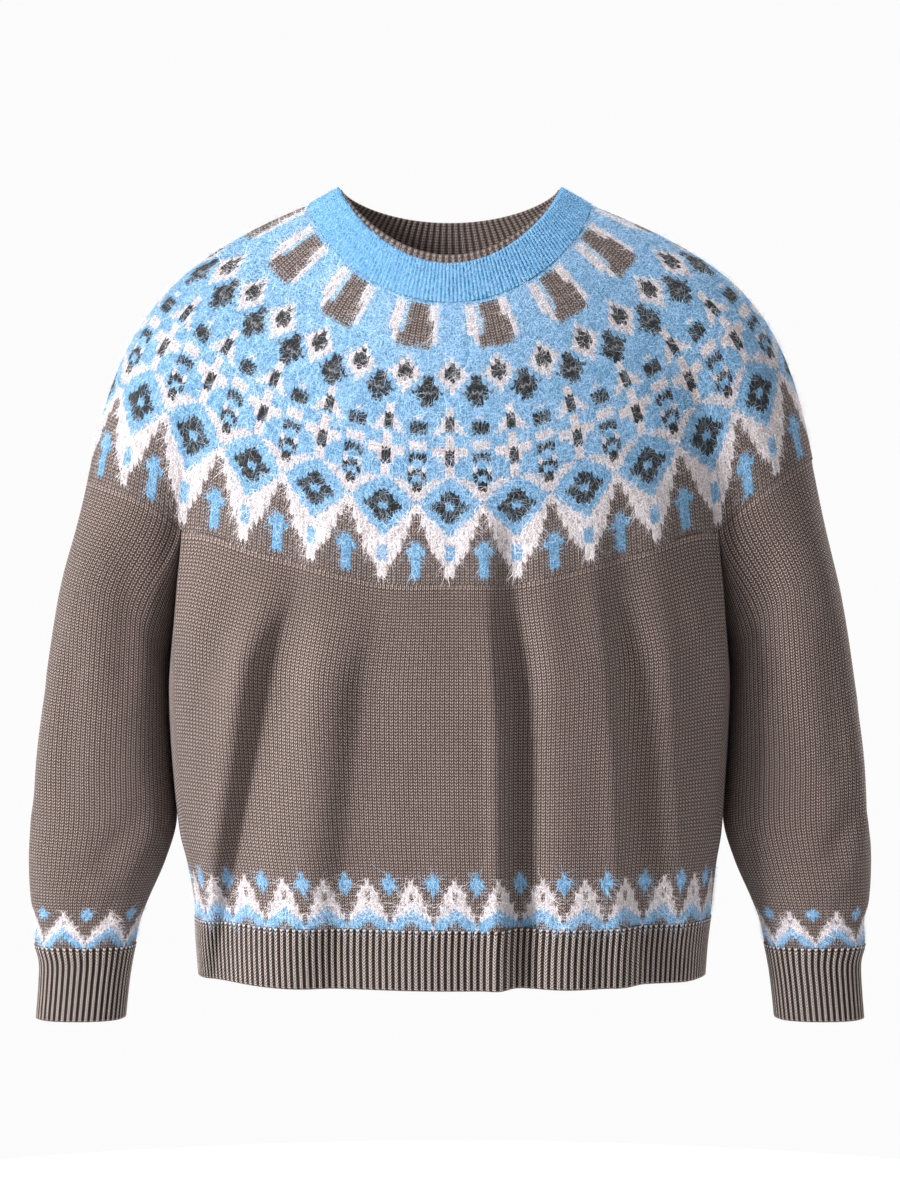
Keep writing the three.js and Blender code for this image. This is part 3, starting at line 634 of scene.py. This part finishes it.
def haloPiece(name, zones, settings, mirrored=False):
    # fine hairs that lie on the cloth: each is a thin strip of two lengths that ends in a point
    hair = {**hairForm, **settings}
    count = hair["count"]
    root, out, across, down, tone = hairRoots(zones, count, hair["yarns"])
    across /= np.maximum(np.linalg.norm(across, axis=-1, keepdims=True), 1e-9)
    down /= np.maximum(np.linalg.norm(down, axis=-1, keepdims=True), 1e-9)
    turn = draws.uniform(0, 2 * math.pi, count)
    bend = turn + draws.normal(0, hair["bend"], count)
    half = draws.uniform(*hair["length"], count)[:, None] / 2
    lift = draws.uniform(*hair["lift"], count)

    def heading(angle):
        way = across * np.cos(angle)[:, None] + down * (np.sin(angle) + hair["droop"])[:, None]
        return way / np.linalg.norm(way, axis=-1, keepdims=True)

    firstWay, secondWay = heading(turn), heading(bend)
    start = root + out * hair["root"]
    middle = start + firstWay * half + out * lift[:, None]
    tip = middle + secondWay * half + out * (lift * draws.uniform(*hair["tipLift"], count))[:, None]
    side = np.cross(firstWay, out) * hair["width"] / 2
    mesh, column, row, corners = gridMesh(name, 2 * count - 1, 2)
    strand, left = column // 2, np.where(column % 2 == 0, 1.0, -1.0)[:, None]
    lower = start[strand] + side[strand] * left
    upper = middle[strand] + side[strand] * left * hair["narrowing"]
    places = np.where((row == 0)[:, None], lower, np.where((row == 1)[:, None], upper, tip[strand]))
    if mirrored:
        places[:, 0] *= -1
    darker = np.where(tone[:, 3:] > hair["plainHalo"], 1, hair["plainTone"])
    tone = tone * (hair["tone"] + hair["toneRange"] * draws.uniform(0, 1, (count, 1))) * darker
    uv = np.stack([column[corners] % 2, row[corners]], -1).astype(float)
    faceColumn = column[corners].reshape(-1, 4).min(1)
    fillMesh(mesh, places, uv, tone[strand[corners]])
    bm = bmesh.new()
    bm.from_mesh(mesh)
    bm.faces.ensure_lookup_table()
    spare = [face for face, at in zip(bm.faces, faceColumn) if at % 2]
    bmesh.ops.delete(bm, geom=spare, context="FACES")
    tips = [vertex for vertex in bm.verts if len(vertex.link_faces) == 1]
    bmesh.ops.remove_doubles(bm, verts=tips, dist=1e-7)
    bm.to_mesh(mesh)
    bm.free()
    return linkPiece(name, mesh, hairLook)


# Shader maths as expressions on sockets
class Wire:
    def __init__(self, graph, socket):
        self.graph, self.socket = graph, socket

    def output(self, name):   # another output of the same node
        return Wire(self.graph, self.socket.node.outputs[name])

    def math(self, operation, *others):
        return self.graph.add("ShaderNodeMath", {"operation": operation}, dict(enumerate((self, *others))))

    def __add__(self, other):
        return self.math("ADD", other)

    def __sub__(self, other):
        return self.math("SUBTRACT", other)

    def __mul__(self, other):
        return self.math("MULTIPLY", other)

    def __truediv__(self, other):
        return self.math("DIVIDE", other)

    def __pow__(self, other):
        return self.math("POWER", other)

    def __rsub__(self, other):
        return self.graph.add("ShaderNodeMath", {"operation": "SUBTRACT"}, {0: other, 1: self})

    __radd__ = __add__
    __rmul__ = __mul__


class Graph:   # the nodes of a material or of the world
    def __init__(self, owner):
        owner.use_nodes = True
        self.tree = owner.node_tree
        self.tree.nodes.clear()

    def add(self, kind, settings=None, inputs=None, output=0):
        node = self.tree.nodes.new(kind)
        for key, value in (settings or {}).items():
            setattr(node, key, value)
        for key, value in (inputs or {}).items():
            if isinstance(value, Wire):
                self.tree.links.new(value.socket, node.inputs[key])
            else:
                node.inputs[key].default_value = value
        return Wire(self, node.outputs[output]) if len(node.outputs) else None

    def mix(self, factor, first, second, blend="MIX"):
        return self.add("ShaderNodeMix", {"data_type": "RGBA", "blend_type": blend},
                        {0: factor, 6: first, 7: second}, 2)

    def between(self, value, low, high):   # 0 at low and 1 at high, eased
        return self.add("ShaderNodeMapRange", {"interpolation_type": "SMOOTHSTEP"},
                        {"Value": value, "From Min": low, "From Max": high})

    def surface(self, inputs):
        shader = self.add("ShaderNodeBsdfPrincipled", inputs=inputs)
        self.add("ShaderNodeOutputMaterial", inputs={"Surface": shader})


def rgba(code):
    return (*(float(part) for part in linear(code)), 1.0)


white = rgba("#ffffff")

# Gaps are between the legs of stitches and carry painted shade, wales are the columns, patches and fuzz are
# scaled to a metre
knitLook = {
    "gapShadeDepth": 0.97, "haloGapShade": 0.46, "gapFrom": 0.63, "gapTo": 1.07, "gapShadeTint": "#3c3532", "wale": 1.0,
    "rowGap": 0.6, "legEnds": 2.5, "legEndDepth": 0.4, "waleEdge": 4, "waleDepth": 0.45,
    "legHeight": 0.75, "fibreHeight": 0.3, "twistHeight": 0.05, "twistAlong": 2.2, "twistDown": 3.0,
    "fibresAlong": 2.2, "fibresLean": 0.4, "fibresDown": 9.0,
    "fleck": 1.87, "haloFleck": 3.24, "stitchChance": 0.12, "patches": 0.24, "patchScale": 9.0, "tone": 0.94,
    "fuzzScale": 700.0, "fuzzHeight": 1.4, "haloFlat": 0.35, "pale": 0.45, "paleFrom": 0.56, "paleTo": 0.74,
    "bumpDistance": 0.0013, "roughness": 0.92, "sheen": 0.08, "specular": 0.15}


def knitMaterial(name, settings=None):
    look = {**knitLook, **(settings or {})}
    material = bpy.data.materials.new(name)
    graph = Graph(material)
    place = graph.add("ShaderNodeUVMap", {"uv_map": "stitch"})
    across = graph.add("ShaderNodeSeparateXYZ", inputs={0: place})
    down = across.output("Y")
    yarn = graph.add("ShaderNodeAttribute", {"attribute_name": "yarn"})
    halo = yarn.output("Alpha")

    # Each leg of a stitch is rounded, narrow at its ends and deeper beside its neighbours
    alongLeg, acrossLeg = across.math("FRACT"), down.math("FRACT")
    rounded = 1 - (acrossLeg * 2 - 1) ** 2
    edge = 1 - across.math("PINGPONG", look["wale"]) / look["wale"]
    ends = ((alongLeg * 2 - 1).math("ABSOLUTE") ** look["legEnds"]) * look["legEndDepth"]
    leg = (rounded ** look["rowGap"]) * (1 - ends - (edge ** look["waleEdge"]) * look["waleDepth"])
    lean = across.math("FLOOR").math("PINGPONG", 1.0) * 2 - 1   # the two legs of a stitch twist apart
    turns = alongLeg * lean * look["twistAlong"] + down * look["twistDown"]
    twist = (turns * (2 * math.pi)).math("SINE")
    fibrePlace = graph.add("ShaderNodeCombineXYZ", inputs={
        0: across * look["fibresAlong"] + down * lean * look["fibresLean"], 1: down * look["fibresDown"]})
    fibres = graph.add("ShaderNodeTexNoise", {"noise_dimensions": "2D"}, {
        "Vector": fibrePlace, "Scale": 1.0, "Detail": 3.0, "Roughness": 0.65})
    height = leg * look["legHeight"] + fibres * look["fibreHeight"] + twist * look["twistHeight"]

    # Tone: flecks of fibre, chance from stitch to stitch, wide faint patches, the fuzz of a halo, and painted
    # shade in the gaps between legs
    cell = graph.add("ShaderNodeCombineXYZ", inputs={0: across.math("FLOOR"), 1: down.math("FLOOR")})
    chance = graph.add("ShaderNodeTexWhiteNoise", {"noise_dimensions": "2D"}, {"Vector": cell})
    spot = graph.add("ShaderNodeTexCoord", output="Object")
    fuzz = graph.add("ShaderNodeTexNoise", inputs={
        "Vector": spot, "Scale": look["fuzzScale"], "Detail": 3.0, "Roughness": 0.75, "Distortion": 1.2})
    patch = graph.add("ShaderNodeTexNoise", inputs={
        "Vector": spot, "Scale": look["patchScale"], "Detail": 3.0})
    # Painted shade: between the legs the colour darkens towards the yarn squared times a dark tint, less so
    # under a halo
    clear = graph.between(height, look["gapFrom"], look["gapTo"])
    gap = 1 - (1 - clear) * (look["gapShadeDepth"] - halo * (look["gapShadeDepth"] - look["haloGapShade"]))
    fleck = (fibres - 0.5) * look["fleck"] * (1 - halo * 0.5) + (fuzz - 0.5) * (halo * look["haloFleck"])
    tone = look["tone"] + fleck + (chance - 0.5) * look["stitchChance"] + (patch - 0.5) * look["patches"]
    deep = graph.mix(1.0, graph.mix(1.0, yarn, yarn, "MULTIPLY"), rgba(look["gapShadeTint"]), "MULTIPLY")
    toned = graph.mix(gap * tone, deep, yarn)
    pale = graph.between(fuzz, look["paleFrom"], look["paleTo"]) * halo * look["pale"]
    raised = height * (1 - halo * look["haloFlat"]) + fuzz * (halo * look["fuzzHeight"])
    bump = graph.add("ShaderNodeBump", inputs={
        "Strength": 1.0, "Distance": look["bumpDistance"], "Height": raised})
    graph.surface({
        "Base Color": graph.mix(pale, toned, white), "Roughness": look["roughness"], "Normal": bump,
        "Sheen Weight": look["sheen"], "Sheen Roughness": 0.5, "Specular IOR Level": look["specular"]})
    return material


hairTone = {"scale": 300.0, "pale": 0.22, "least": 0.8, "range": 0.5}


def hairMaterial(name):
    material = bpy.data.materials.new(name)
    graph = Graph(material)
    yarn = graph.add("ShaderNodeAttribute", {"attribute_name": "yarn"})
    spot = graph.add("ShaderNodeTexCoord", output="Object")
    noise = graph.add("ShaderNodeTexNoise", inputs={
        "Vector": spot, "Scale": hairTone["scale"], "Detail": 2.0})
    shade = noise * hairTone["range"] + hairTone["least"]
    grey = graph.add("ShaderNodeCombineColor", inputs={0: shade, 1: shade, 2: shade})
    colour = graph.mix(1.0, graph.mix(hairTone["pale"], yarn, white), grey, "MULTIPLY")
    graph.surface({"Base Color": colour, "Roughness": 0.8, "Sheen Weight": 0.3, "Specular IOR Level": 0.3})
    return material


hairLook = hairMaterial("halo hairs")


def belong(slot, *parts):   # there is one body, and every piece rides on it
    for part in parts:
        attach(part, "root")


# Folds as in dents: two ends, depth, half width and the ridges' share of the depth. These cross the seam
# between the yoke and the body.
seamFolds = [
    ((-119, -121, -236), (-142, -113, -420), 7, 15, 0.25), ((49, -128, -246), (49, -124, -410), 8, 13, 0.3),
    ((136, -112, -238), (139, -110, -420), 6, 15, 0.25), ((-50, -126, -250), (-70, -122, -420), 3, 20, 0.2),
]

# Yoke: three tiers of colourwork, each with more stitches than the one above
yoke = {
    "stitches": (196, 252, 336), "blockShift": 11, "flat": (1.196, 0.285), "area": 0.290, "zigzagRow": 29,
    "shell": {"reverse": "r", "teeth": stitchForm["teeth"]},
    "hairs": {"count": 64000, "length": (4, 13), "yarns": {"y": 0.07, "b": 1, "p": 1, "w": 0.75, "k": 0.3}},
    "streaks": {"count": 3500, "length": (6, 15), "yarns": {"w": 1}, "width": 0.16, "droop": 1.4},
    "folds": [
        ((96, -60, -150), (190, -66, -262), 3, 15, 0.3), ((-96, -60, -150), (-188, -66, -262), 3, 15, 0.3),
        *seamFolds,
        ((100, 78, -150), (186, 90, -262), 3.0, 16, 0.3), ((-92, 80, -150), (-180, 92, -262), 3.0, 16, 0.3),
        ((-40, 104, -190), (-52, 120, -290), 2.2, 14, 0.3), ((48, 104, -180), (60, 118, -290), 2.2, 14, 0.3)]}
yokeRows = sum(len(chart) for chart in (blockChart, flowerHalf, diamondHalf))


def brushed(yarn):   # the yoke's brown has a light halo, which the body's has not
    def fuzzy(place, row):
        chart = yarn(place, row)
        return np.where(chart == yarnIndex["."], yarnIndex["y"], chart)
    return fuzzy


def yokeZones():
    tiers = [
        (len(blockChart), wholeRepeat(blockChart, yoke["blockShift"])),
        (len(flowerHalf), mirroredRepeat(flowerHalf, 9)),
        (len(diamondHalf), mirroredRepeat(diamondHalf, 14, onStitch=False)),
    ]
    zones = []
    for (rows, yarn), stitches in zip(tiers, yoke["stitches"]):
        repeat = np.arange(2 * stitches) / (2 * stitches) * shape["repeats"]
        sheet = Sheet(yokeSheet(repeat, 4 * yokeRows + 1), yokeRows, folds=yoke["folds"])
        foot = sheet.normals[:, -1].copy()
        foot[:, 2] = 0
        sheet.normals[:, -1] = foot / np.linalg.norm(foot, axis=-1, keepdims=True)
        zones.append({"rows": rows, "columns": 2 * stitches, "sheet": sheet, "yarn": brushed(yarn)})
    return zones


def hairsFrom(zone, firstRow):   # the same zone with charcoal above a row, where off-white hairs don't grow
    def yarn(place, row):
        return np.where(row >= firstRow, zone["yarn"](place, row), yarnIndex["k"])
    return {**zone, "yarn": yarn}


def makeYoke():
    zones = yokeZones()
    piece = knitShell("yokeKnit", zones, knitMaterial("yoke colourwork"), yoke["shell"])
    hairs = haloPiece("yokeHalo", zones, yoke["hairs"])
    lower = [*(hairsFrom(zone, yokeRows) for zone in zones[:-1]), hairsFrom(zones[-1], yoke["zigzagRow"])]
    streaks = haloPiece("zigzagHalo", lower, yoke["streaks"])
    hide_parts("yoke")
    belong("yoke_colourwork", piece, hairs, streaks)
    print("yoke", len(piece.data.polygons), "faces,", len(hairs.data.polygons), "in the halo")


makeYoke()

# Body: front and back meet at the side seams
body = {
    "stitches": 340, "rows": 110, "evenRows": 22, "rowHeight": 2.4, "fade": shape["bodyFade"],
    "flat": (0.565, 0.309), "area": 0.160, "shell": {"teeth": stitchForm["teeth"]},
    "hairs": {"count": 9000, "length": (5, 17), "yarns": {"b": 1, "w": 1}, "width": 0.13, "droop": 0.7},
    "folds": [
        *seamFolds,
        ((-124, -113, -330), (-176, -98, -560), 4, 16, 0.3), ((49, -112, -330), (51, -106, -590), 4, 13, 0.3),
        ((137, -108, -330), (149, -98, -580), 4, 16, 0.3),
        ((-168, -100, -300), (-196, -60, -420), 2.5, 16, 0.3),
        ((176, -96, -300), (200, -58, -430), 2.5, 16, 0.3),
        ((-20, -126, -420), (-26, -122, -560), 2, 18, 0.3), ((92, -124, -380), (104, -118, -540), 2.4, 17, 0.3),
        ((-120, -118, -430), (-132, -112, -560), 2.2, 17, 0.3),
        ((180, 92, -300), (202, 50, -430), 2.6, 17, 0.3), ((-178, 92, -300), (-200, 52, -430), 2.6, 17, 0.3),
        ((8, 120, -380), (14, 116, -550), 2.2, 18, 0.3)]}


def hangingZone(knit, top, stack, seamZ, folds, yarn):   # a tube from its own top edge to a level seam
    heights = rowHeights(top[:, 2], seamZ, knit)
    sheet = Sheet(hangingSheet(stack, top, heights, knit["fade"]), knit["rows"], level=True, folds=folds)
    return {"rows": knit["rows"], "columns": len(top), "sheet": sheet, "yarn": yarn}


def unitsRound(columns, units):
    return np.arange(columns) / columns * units


def makeBody():
    columns = 2 * body["stitches"]
    unit = unitsRound(columns, bodyUnits)
    zone = hangingZone(body, bodyTop(unit), bodyStack(unit), shape["hemSeam"], body["folds"],
                       band(hemHalf, 10, body["rows"]))
    material = knitMaterial("body knit")
    for name, node, span in (("frontKnit", "body_front", (-columns // 4, columns // 4)),
                             ("backKnit", "body_back", (columns // 4, 3 * columns // 4))):
        piece = knitShell(name, [zone], material, body["shell"], span)
        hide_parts(node)
        belong("body_knit", piece)
    hairs = haloPiece("hemBandHalo", [zone], body["hairs"])
    belong("body_knit", hairs)


makeBody()

# Ribs: two columns of stitch legs stand out between purl grooves
ribShell = {"wall": 2.2, "innerRows": 4, "rims": (0, 0.8), "profile": (-0.9, 0.7, 1.05, 0.7)}
ribLook = {"gapFrom": 0.42, "gapTo": 0.98, "bumpDistance": 0.0018, "wale": 2.0, "rowGap": 1.1}
hem = {"ribs": 224, "rows": 19, "flat": (1.13, 0.046)}


# Painted light and shade: the groove columns take a darker copy of the yarn, and on the hem and cuffs the
# crowns a lighter copy of the brown
def ribYarn(rib, shadedGroove):
    def yarn(place, row):
        return np.where((place % 4 == 0) | (place % 4 == 3), yarnIndex[shadedGroove], yarnIndex[rib])
    return yarn


def ribZone(rib, stackFor, units, seamZ, edgeZ):   # a ribbed tube between two levels
    columns = 4 * rib["ribs"]
    z = np.linspace(seamZ - shape["seamGap"], edgeZ, 2 * rib["rows"] + 1)
    points = atLevel(stackFor(unitsRound(columns, units)), np.tile(z, (columns, 1)))
    return {"rows": rib["rows"], "columns": columns, "sheet": Sheet(points, rib["rows"], level=True),
            "yarn": ribYarn("h", "g")}


def makeHem():
    zone = ribZone(hem, bodyStack, bodyUnits, shape["hemSeam"], shape["hemEdge"])
    piece = knitShell("hemRib", [zone], knitMaterial("hem rib", ribLook), ribShell)
    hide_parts("hem_rib")
    belong("hem_rib_knit", piece)
    print("hem rib", len(piece.data.polygons))


makeHem()

# Sleeves and cuffs: the wearer's left, and the right from its own shoulder, mirrored
sleeve = {
    "stitches": 84, "rows": 150, "evenRows": 16, "rowHeight": 2.4, "fade": shape["sleeveFade"],
    "flat": (0.325, 0.375), "area": 0.104, "shell": {"teeth": stitchForm["teeth"]},
    "hairs": {"count": 2200, "length": (4, 10), "yarns": {"b": 1, "w": 1}, "width": 0.13, "droop": 0.7},
    "leftFolds": [
        ((246, -36, -262), (252, -38, -400), 2.6, 12, 0.3),
        ((300, -36, -330), (312, -34, -470), 2.2, 13, 0.3),
        ((318, -14, -470), (300, -40, -520), 2.6, 10, 0.35),
        ((262, -30, -560), (312, -28, -556), 3.2, 8, 0.45),
        ((250, 50, -280), (262, 60, -420), 2.6, 13, 0.3), ((300, 44, -360), (306, 44, -500), 2.4, 13, 0.3),
        ((256, 38, -556), (316, 36, -562), 3, 8, 0.45), ((330, 0, -400), (334, 4, -500), 2, 12, 0.3)],
    "rightFolds": [
        ((250, -36, -270), (256, -38, -390), 2.4, 12, 0.3),
        ((296, -38, -350), (304, -36, -480), 2.6, 12, 0.3),
        ((244, -20, -480), (276, -38, -525), 2.8, 10, 0.35),
        ((260, -30, -556), (316, -26, -562), 3.2, 8, 0.45),
        ((254, 52, -290), (264, 60, -410), 2.4, 13, 0.3), ((302, 42, -380), (300, 46, -505), 2.6, 13, 0.3),
        ((254, 38, -562), (316, 36, -556), 3, 8, 0.45), ((328, 2, -380), (334, 4, -480), 2.2, 12, 0.3)]}
cuff = {"ribs": 46, "rows": 24, "flat": (0.212, 0.058)}


def makeSleeve(side, word, materials):
    unit = unitsRound(2 * sleeve["stitches"], sleeveUnits)
    zone = hangingZone(sleeve, sleeveTop(unit, side), sleeveStack(unit), shape["cuffSeam"],
                       sleeve[f"{word}Folds"], band(cuffHalf, 12, sleeve["rows"]))
    mirrored = side < 0
    piece = knitShell(f"{word}SleeveKnit", [zone], materials[0], sleeve["shell"], mirrored=mirrored)
    hairs = haloPiece(f"{word}SleeveHalo", [zone], sleeve["hairs"], mirrored)
    wrist = ribZone(cuff, sleeveStack, sleeveUnits, shape["cuffSeam"], shape["cuffEdge"])
    ribbed = knitShell(f"{word}CuffRib", [wrist], materials[1], ribShell, mirrored=mirrored)
    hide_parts(f"sleeve_{word}")
    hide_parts(f"cuff_{word}")
    belong("sleeve_knit", piece, hairs)
    belong("cuff_rib_knit", ribbed)
    print(word, "sleeve", len(piece.data.polygons), "cuff", len(ribbed.data.polygons))


sleeveLooks = (knitMaterial("sleeve knit"), knitMaterial("cuff rib", ribLook))
makeSleeve(1, "left", sleeveLooks)
makeSleeve(-1, "right", sleeveLooks)

# Collar: a fine blue rib over a brown facing that shows above its edge
collar = {
    "ribs": 214, "rows": 14, "flat": (0.60, 0.032), "look": {"haloGapShade": 0.15, "gapFrom": 0.3, "wale": 2.0},
    "shell": {"wall": 2, "innerRows": 4, "rims": (0.8, 0), "profile": (-0.5, 0.6, 0.95, 0.6), "reverse": "c"},
    "hairs": {"count": 9000, "length": (3, 8), "yarns": {"d": 1, "c": 0.6}}}
facing = {
    "ribs": 107, "rows": 14, "flat": (0.56, 0.03), "start": 0.15, "gap": 0.5, "riseAtSide": 1,
    "riseAtFront": 8, "look": {"gapShadeDepth": 0.6, "gapFrom": 0.3, "gapTo": 0.9, "wale": 2.0},
    "shell": {"wall": 1.6, "innerRows": 14, "innerStep": 1, "rims": (0.6, 0),
              "profile": (-0.35, 0.3, 0.4, 0.3), "inside": (-0.3, 0.3, 0.45, 0.3)}}


def collarPoint(share, height):
    foot = ovalPoint(shape["neckSeam"], share * shape["repeats"])
    edge = ovalPoint(shape["collarEdge"], share * shape["repeats"])
    rise = edge - foot
    gap = shape["seamGap"] / np.linalg.norm(rise, axis=-1, keepdims=True)
    return foot + rise * (gap + height * (1 - gap))


def collarZone(layer, points, yarn):
    sheet = Sheet(points, layer["rows"])
    return {"rows": layer["rows"], "columns": len(points), "sheet": sheet, "yarn": yarn}


def collarPoints():
    share = unitsRound(4 * collar["ribs"], 1)
    heights = np.linspace(1, 0, 2 * collar["rows"] + 1)
    return np.stack([collarPoint(share, height) for height in heights], 1)


def facingPoints():   # behind the collar, from above its edge to near its foot
    share = unitsRound(4 * facing["ribs"], 1)
    ahead = (np.cos(share * 2 * math.pi) ** 2)[:, None]
    upward = collarPoint(share, 1) - collarPoint(share, 0)
    upward /= np.linalg.norm(upward, axis=-1, keepdims=True)
    rise = facing["riseAtSide"] + (facing["riseAtFront"] - facing["riseAtSide"]) * ahead
    upper = collarPoint(share, 1) + upward * rise
    lower = collarPoint(share, facing["start"])
    down = np.linspace(0, 1, 2 * facing["rows"] + 1)[None, :, None]
    points = upper[:, None] * (1 - down) + lower[:, None] * down
    return points - surfaceNormals(points) * (collar["shell"]["wall"] + facing["gap"])


def makeCollar():
    zone = collarZone(collar, collarPoints(), ribYarn("d", "c"))
    piece = knitShell("collarRib", [zone], knitMaterial("collar rib", collar["look"]), collar["shell"])
    hairs = haloPiece("collarHalo", [zone], collar["hairs"])
    behind = collarZone(facing, facingPoints(), ribYarn("f", "g"))
    inner = knitShell("collarFacing", [behind], knitMaterial("facing rib", facing["look"]), facing["shell"])
    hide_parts("collar")
    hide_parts("collar_facing")
    belong("collar_rib", piece, hairs)
    belong("facing_rib", inner)
    print("collar", len(piece.data.polygons), "facing", len(inner.data.polygons))


makeCollar()

# Pale floor, soft light: the world is white to the camera and dimmer as a light
studio = {
    "floorZ": -0.95, "floorRadius": 1.15, "floorColour": "#f2f2f2", "floorRoughness": 0.9,
    "worldColour": "#ffffff", "seenStrength": 0.97, "lightStrength": 0.56, "aim": (0, 0, -0.3),
    "lamps": {   # place, size, power
        "key": ((-2.2, -1.65, 1.05), 0.7, 200), "fill": ((1.9, -2.0, 0.4), 1.6, 10),
        "back": ((1.7, 1.9, 1.2), 0.9, 100)}}


def makeFloor():
    bm = bmesh.new()
    bmesh.ops.create_circle(bm, cap_ends=True, segments=96, radius=studio["floorRadius"])
    bmesh.ops.translate(bm, verts=bm.verts, vec=(0, 0, studio["floorZ"]))
    mesh = bpy.data.meshes.new("floor")
    bm.to_mesh(mesh)
    bm.free()
    material = bpy.data.materials.new("pale floor")
    colour = rgba(studio["floorColour"])
    Graph(material).surface({"Base Color": colour, "Roughness": studio["floorRoughness"]})
    linkPiece("floor", mesh, material)


def makeWorld():
    world = bpy.data.worlds.new("studio")
    graph = Graph(world)
    strength = graph.add("ShaderNodeMapRange", inputs={
        "Value": graph.add("ShaderNodeLightPath", output="Is Camera Ray"),
        "To Min": studio["lightStrength"], "To Max": studio["seenStrength"]})
    colour = rgba(studio["worldColour"])
    sky = graph.add("ShaderNodeBackground", inputs={"Color": colour, "Strength": strength})
    graph.add("ShaderNodeOutputWorld", inputs={"Surface": sky})
    bpy.context.scene.world = world


def makeLamps():
    for name, (place, size, power) in studio["lamps"].items():
        light = bpy.data.lights.new(name, "AREA")
        light.size, light.energy = size, power
        lamp = bpy.data.objects.new(name, light)
        lamp.location = place
        away = np.array(studio["aim"]) - np.array(place)
        tilt = math.atan2(away[2], math.hypot(away[0], away[1]))
        lamp.rotation_euler = (math.pi / 2 + tilt, 0, math.atan2(away[1], away[0]) - math.pi / 2)
        bpy.context.scene.collection.objects.link(lamp)


makeFloor()
makeWorld()
makeLamps()
print("studio")
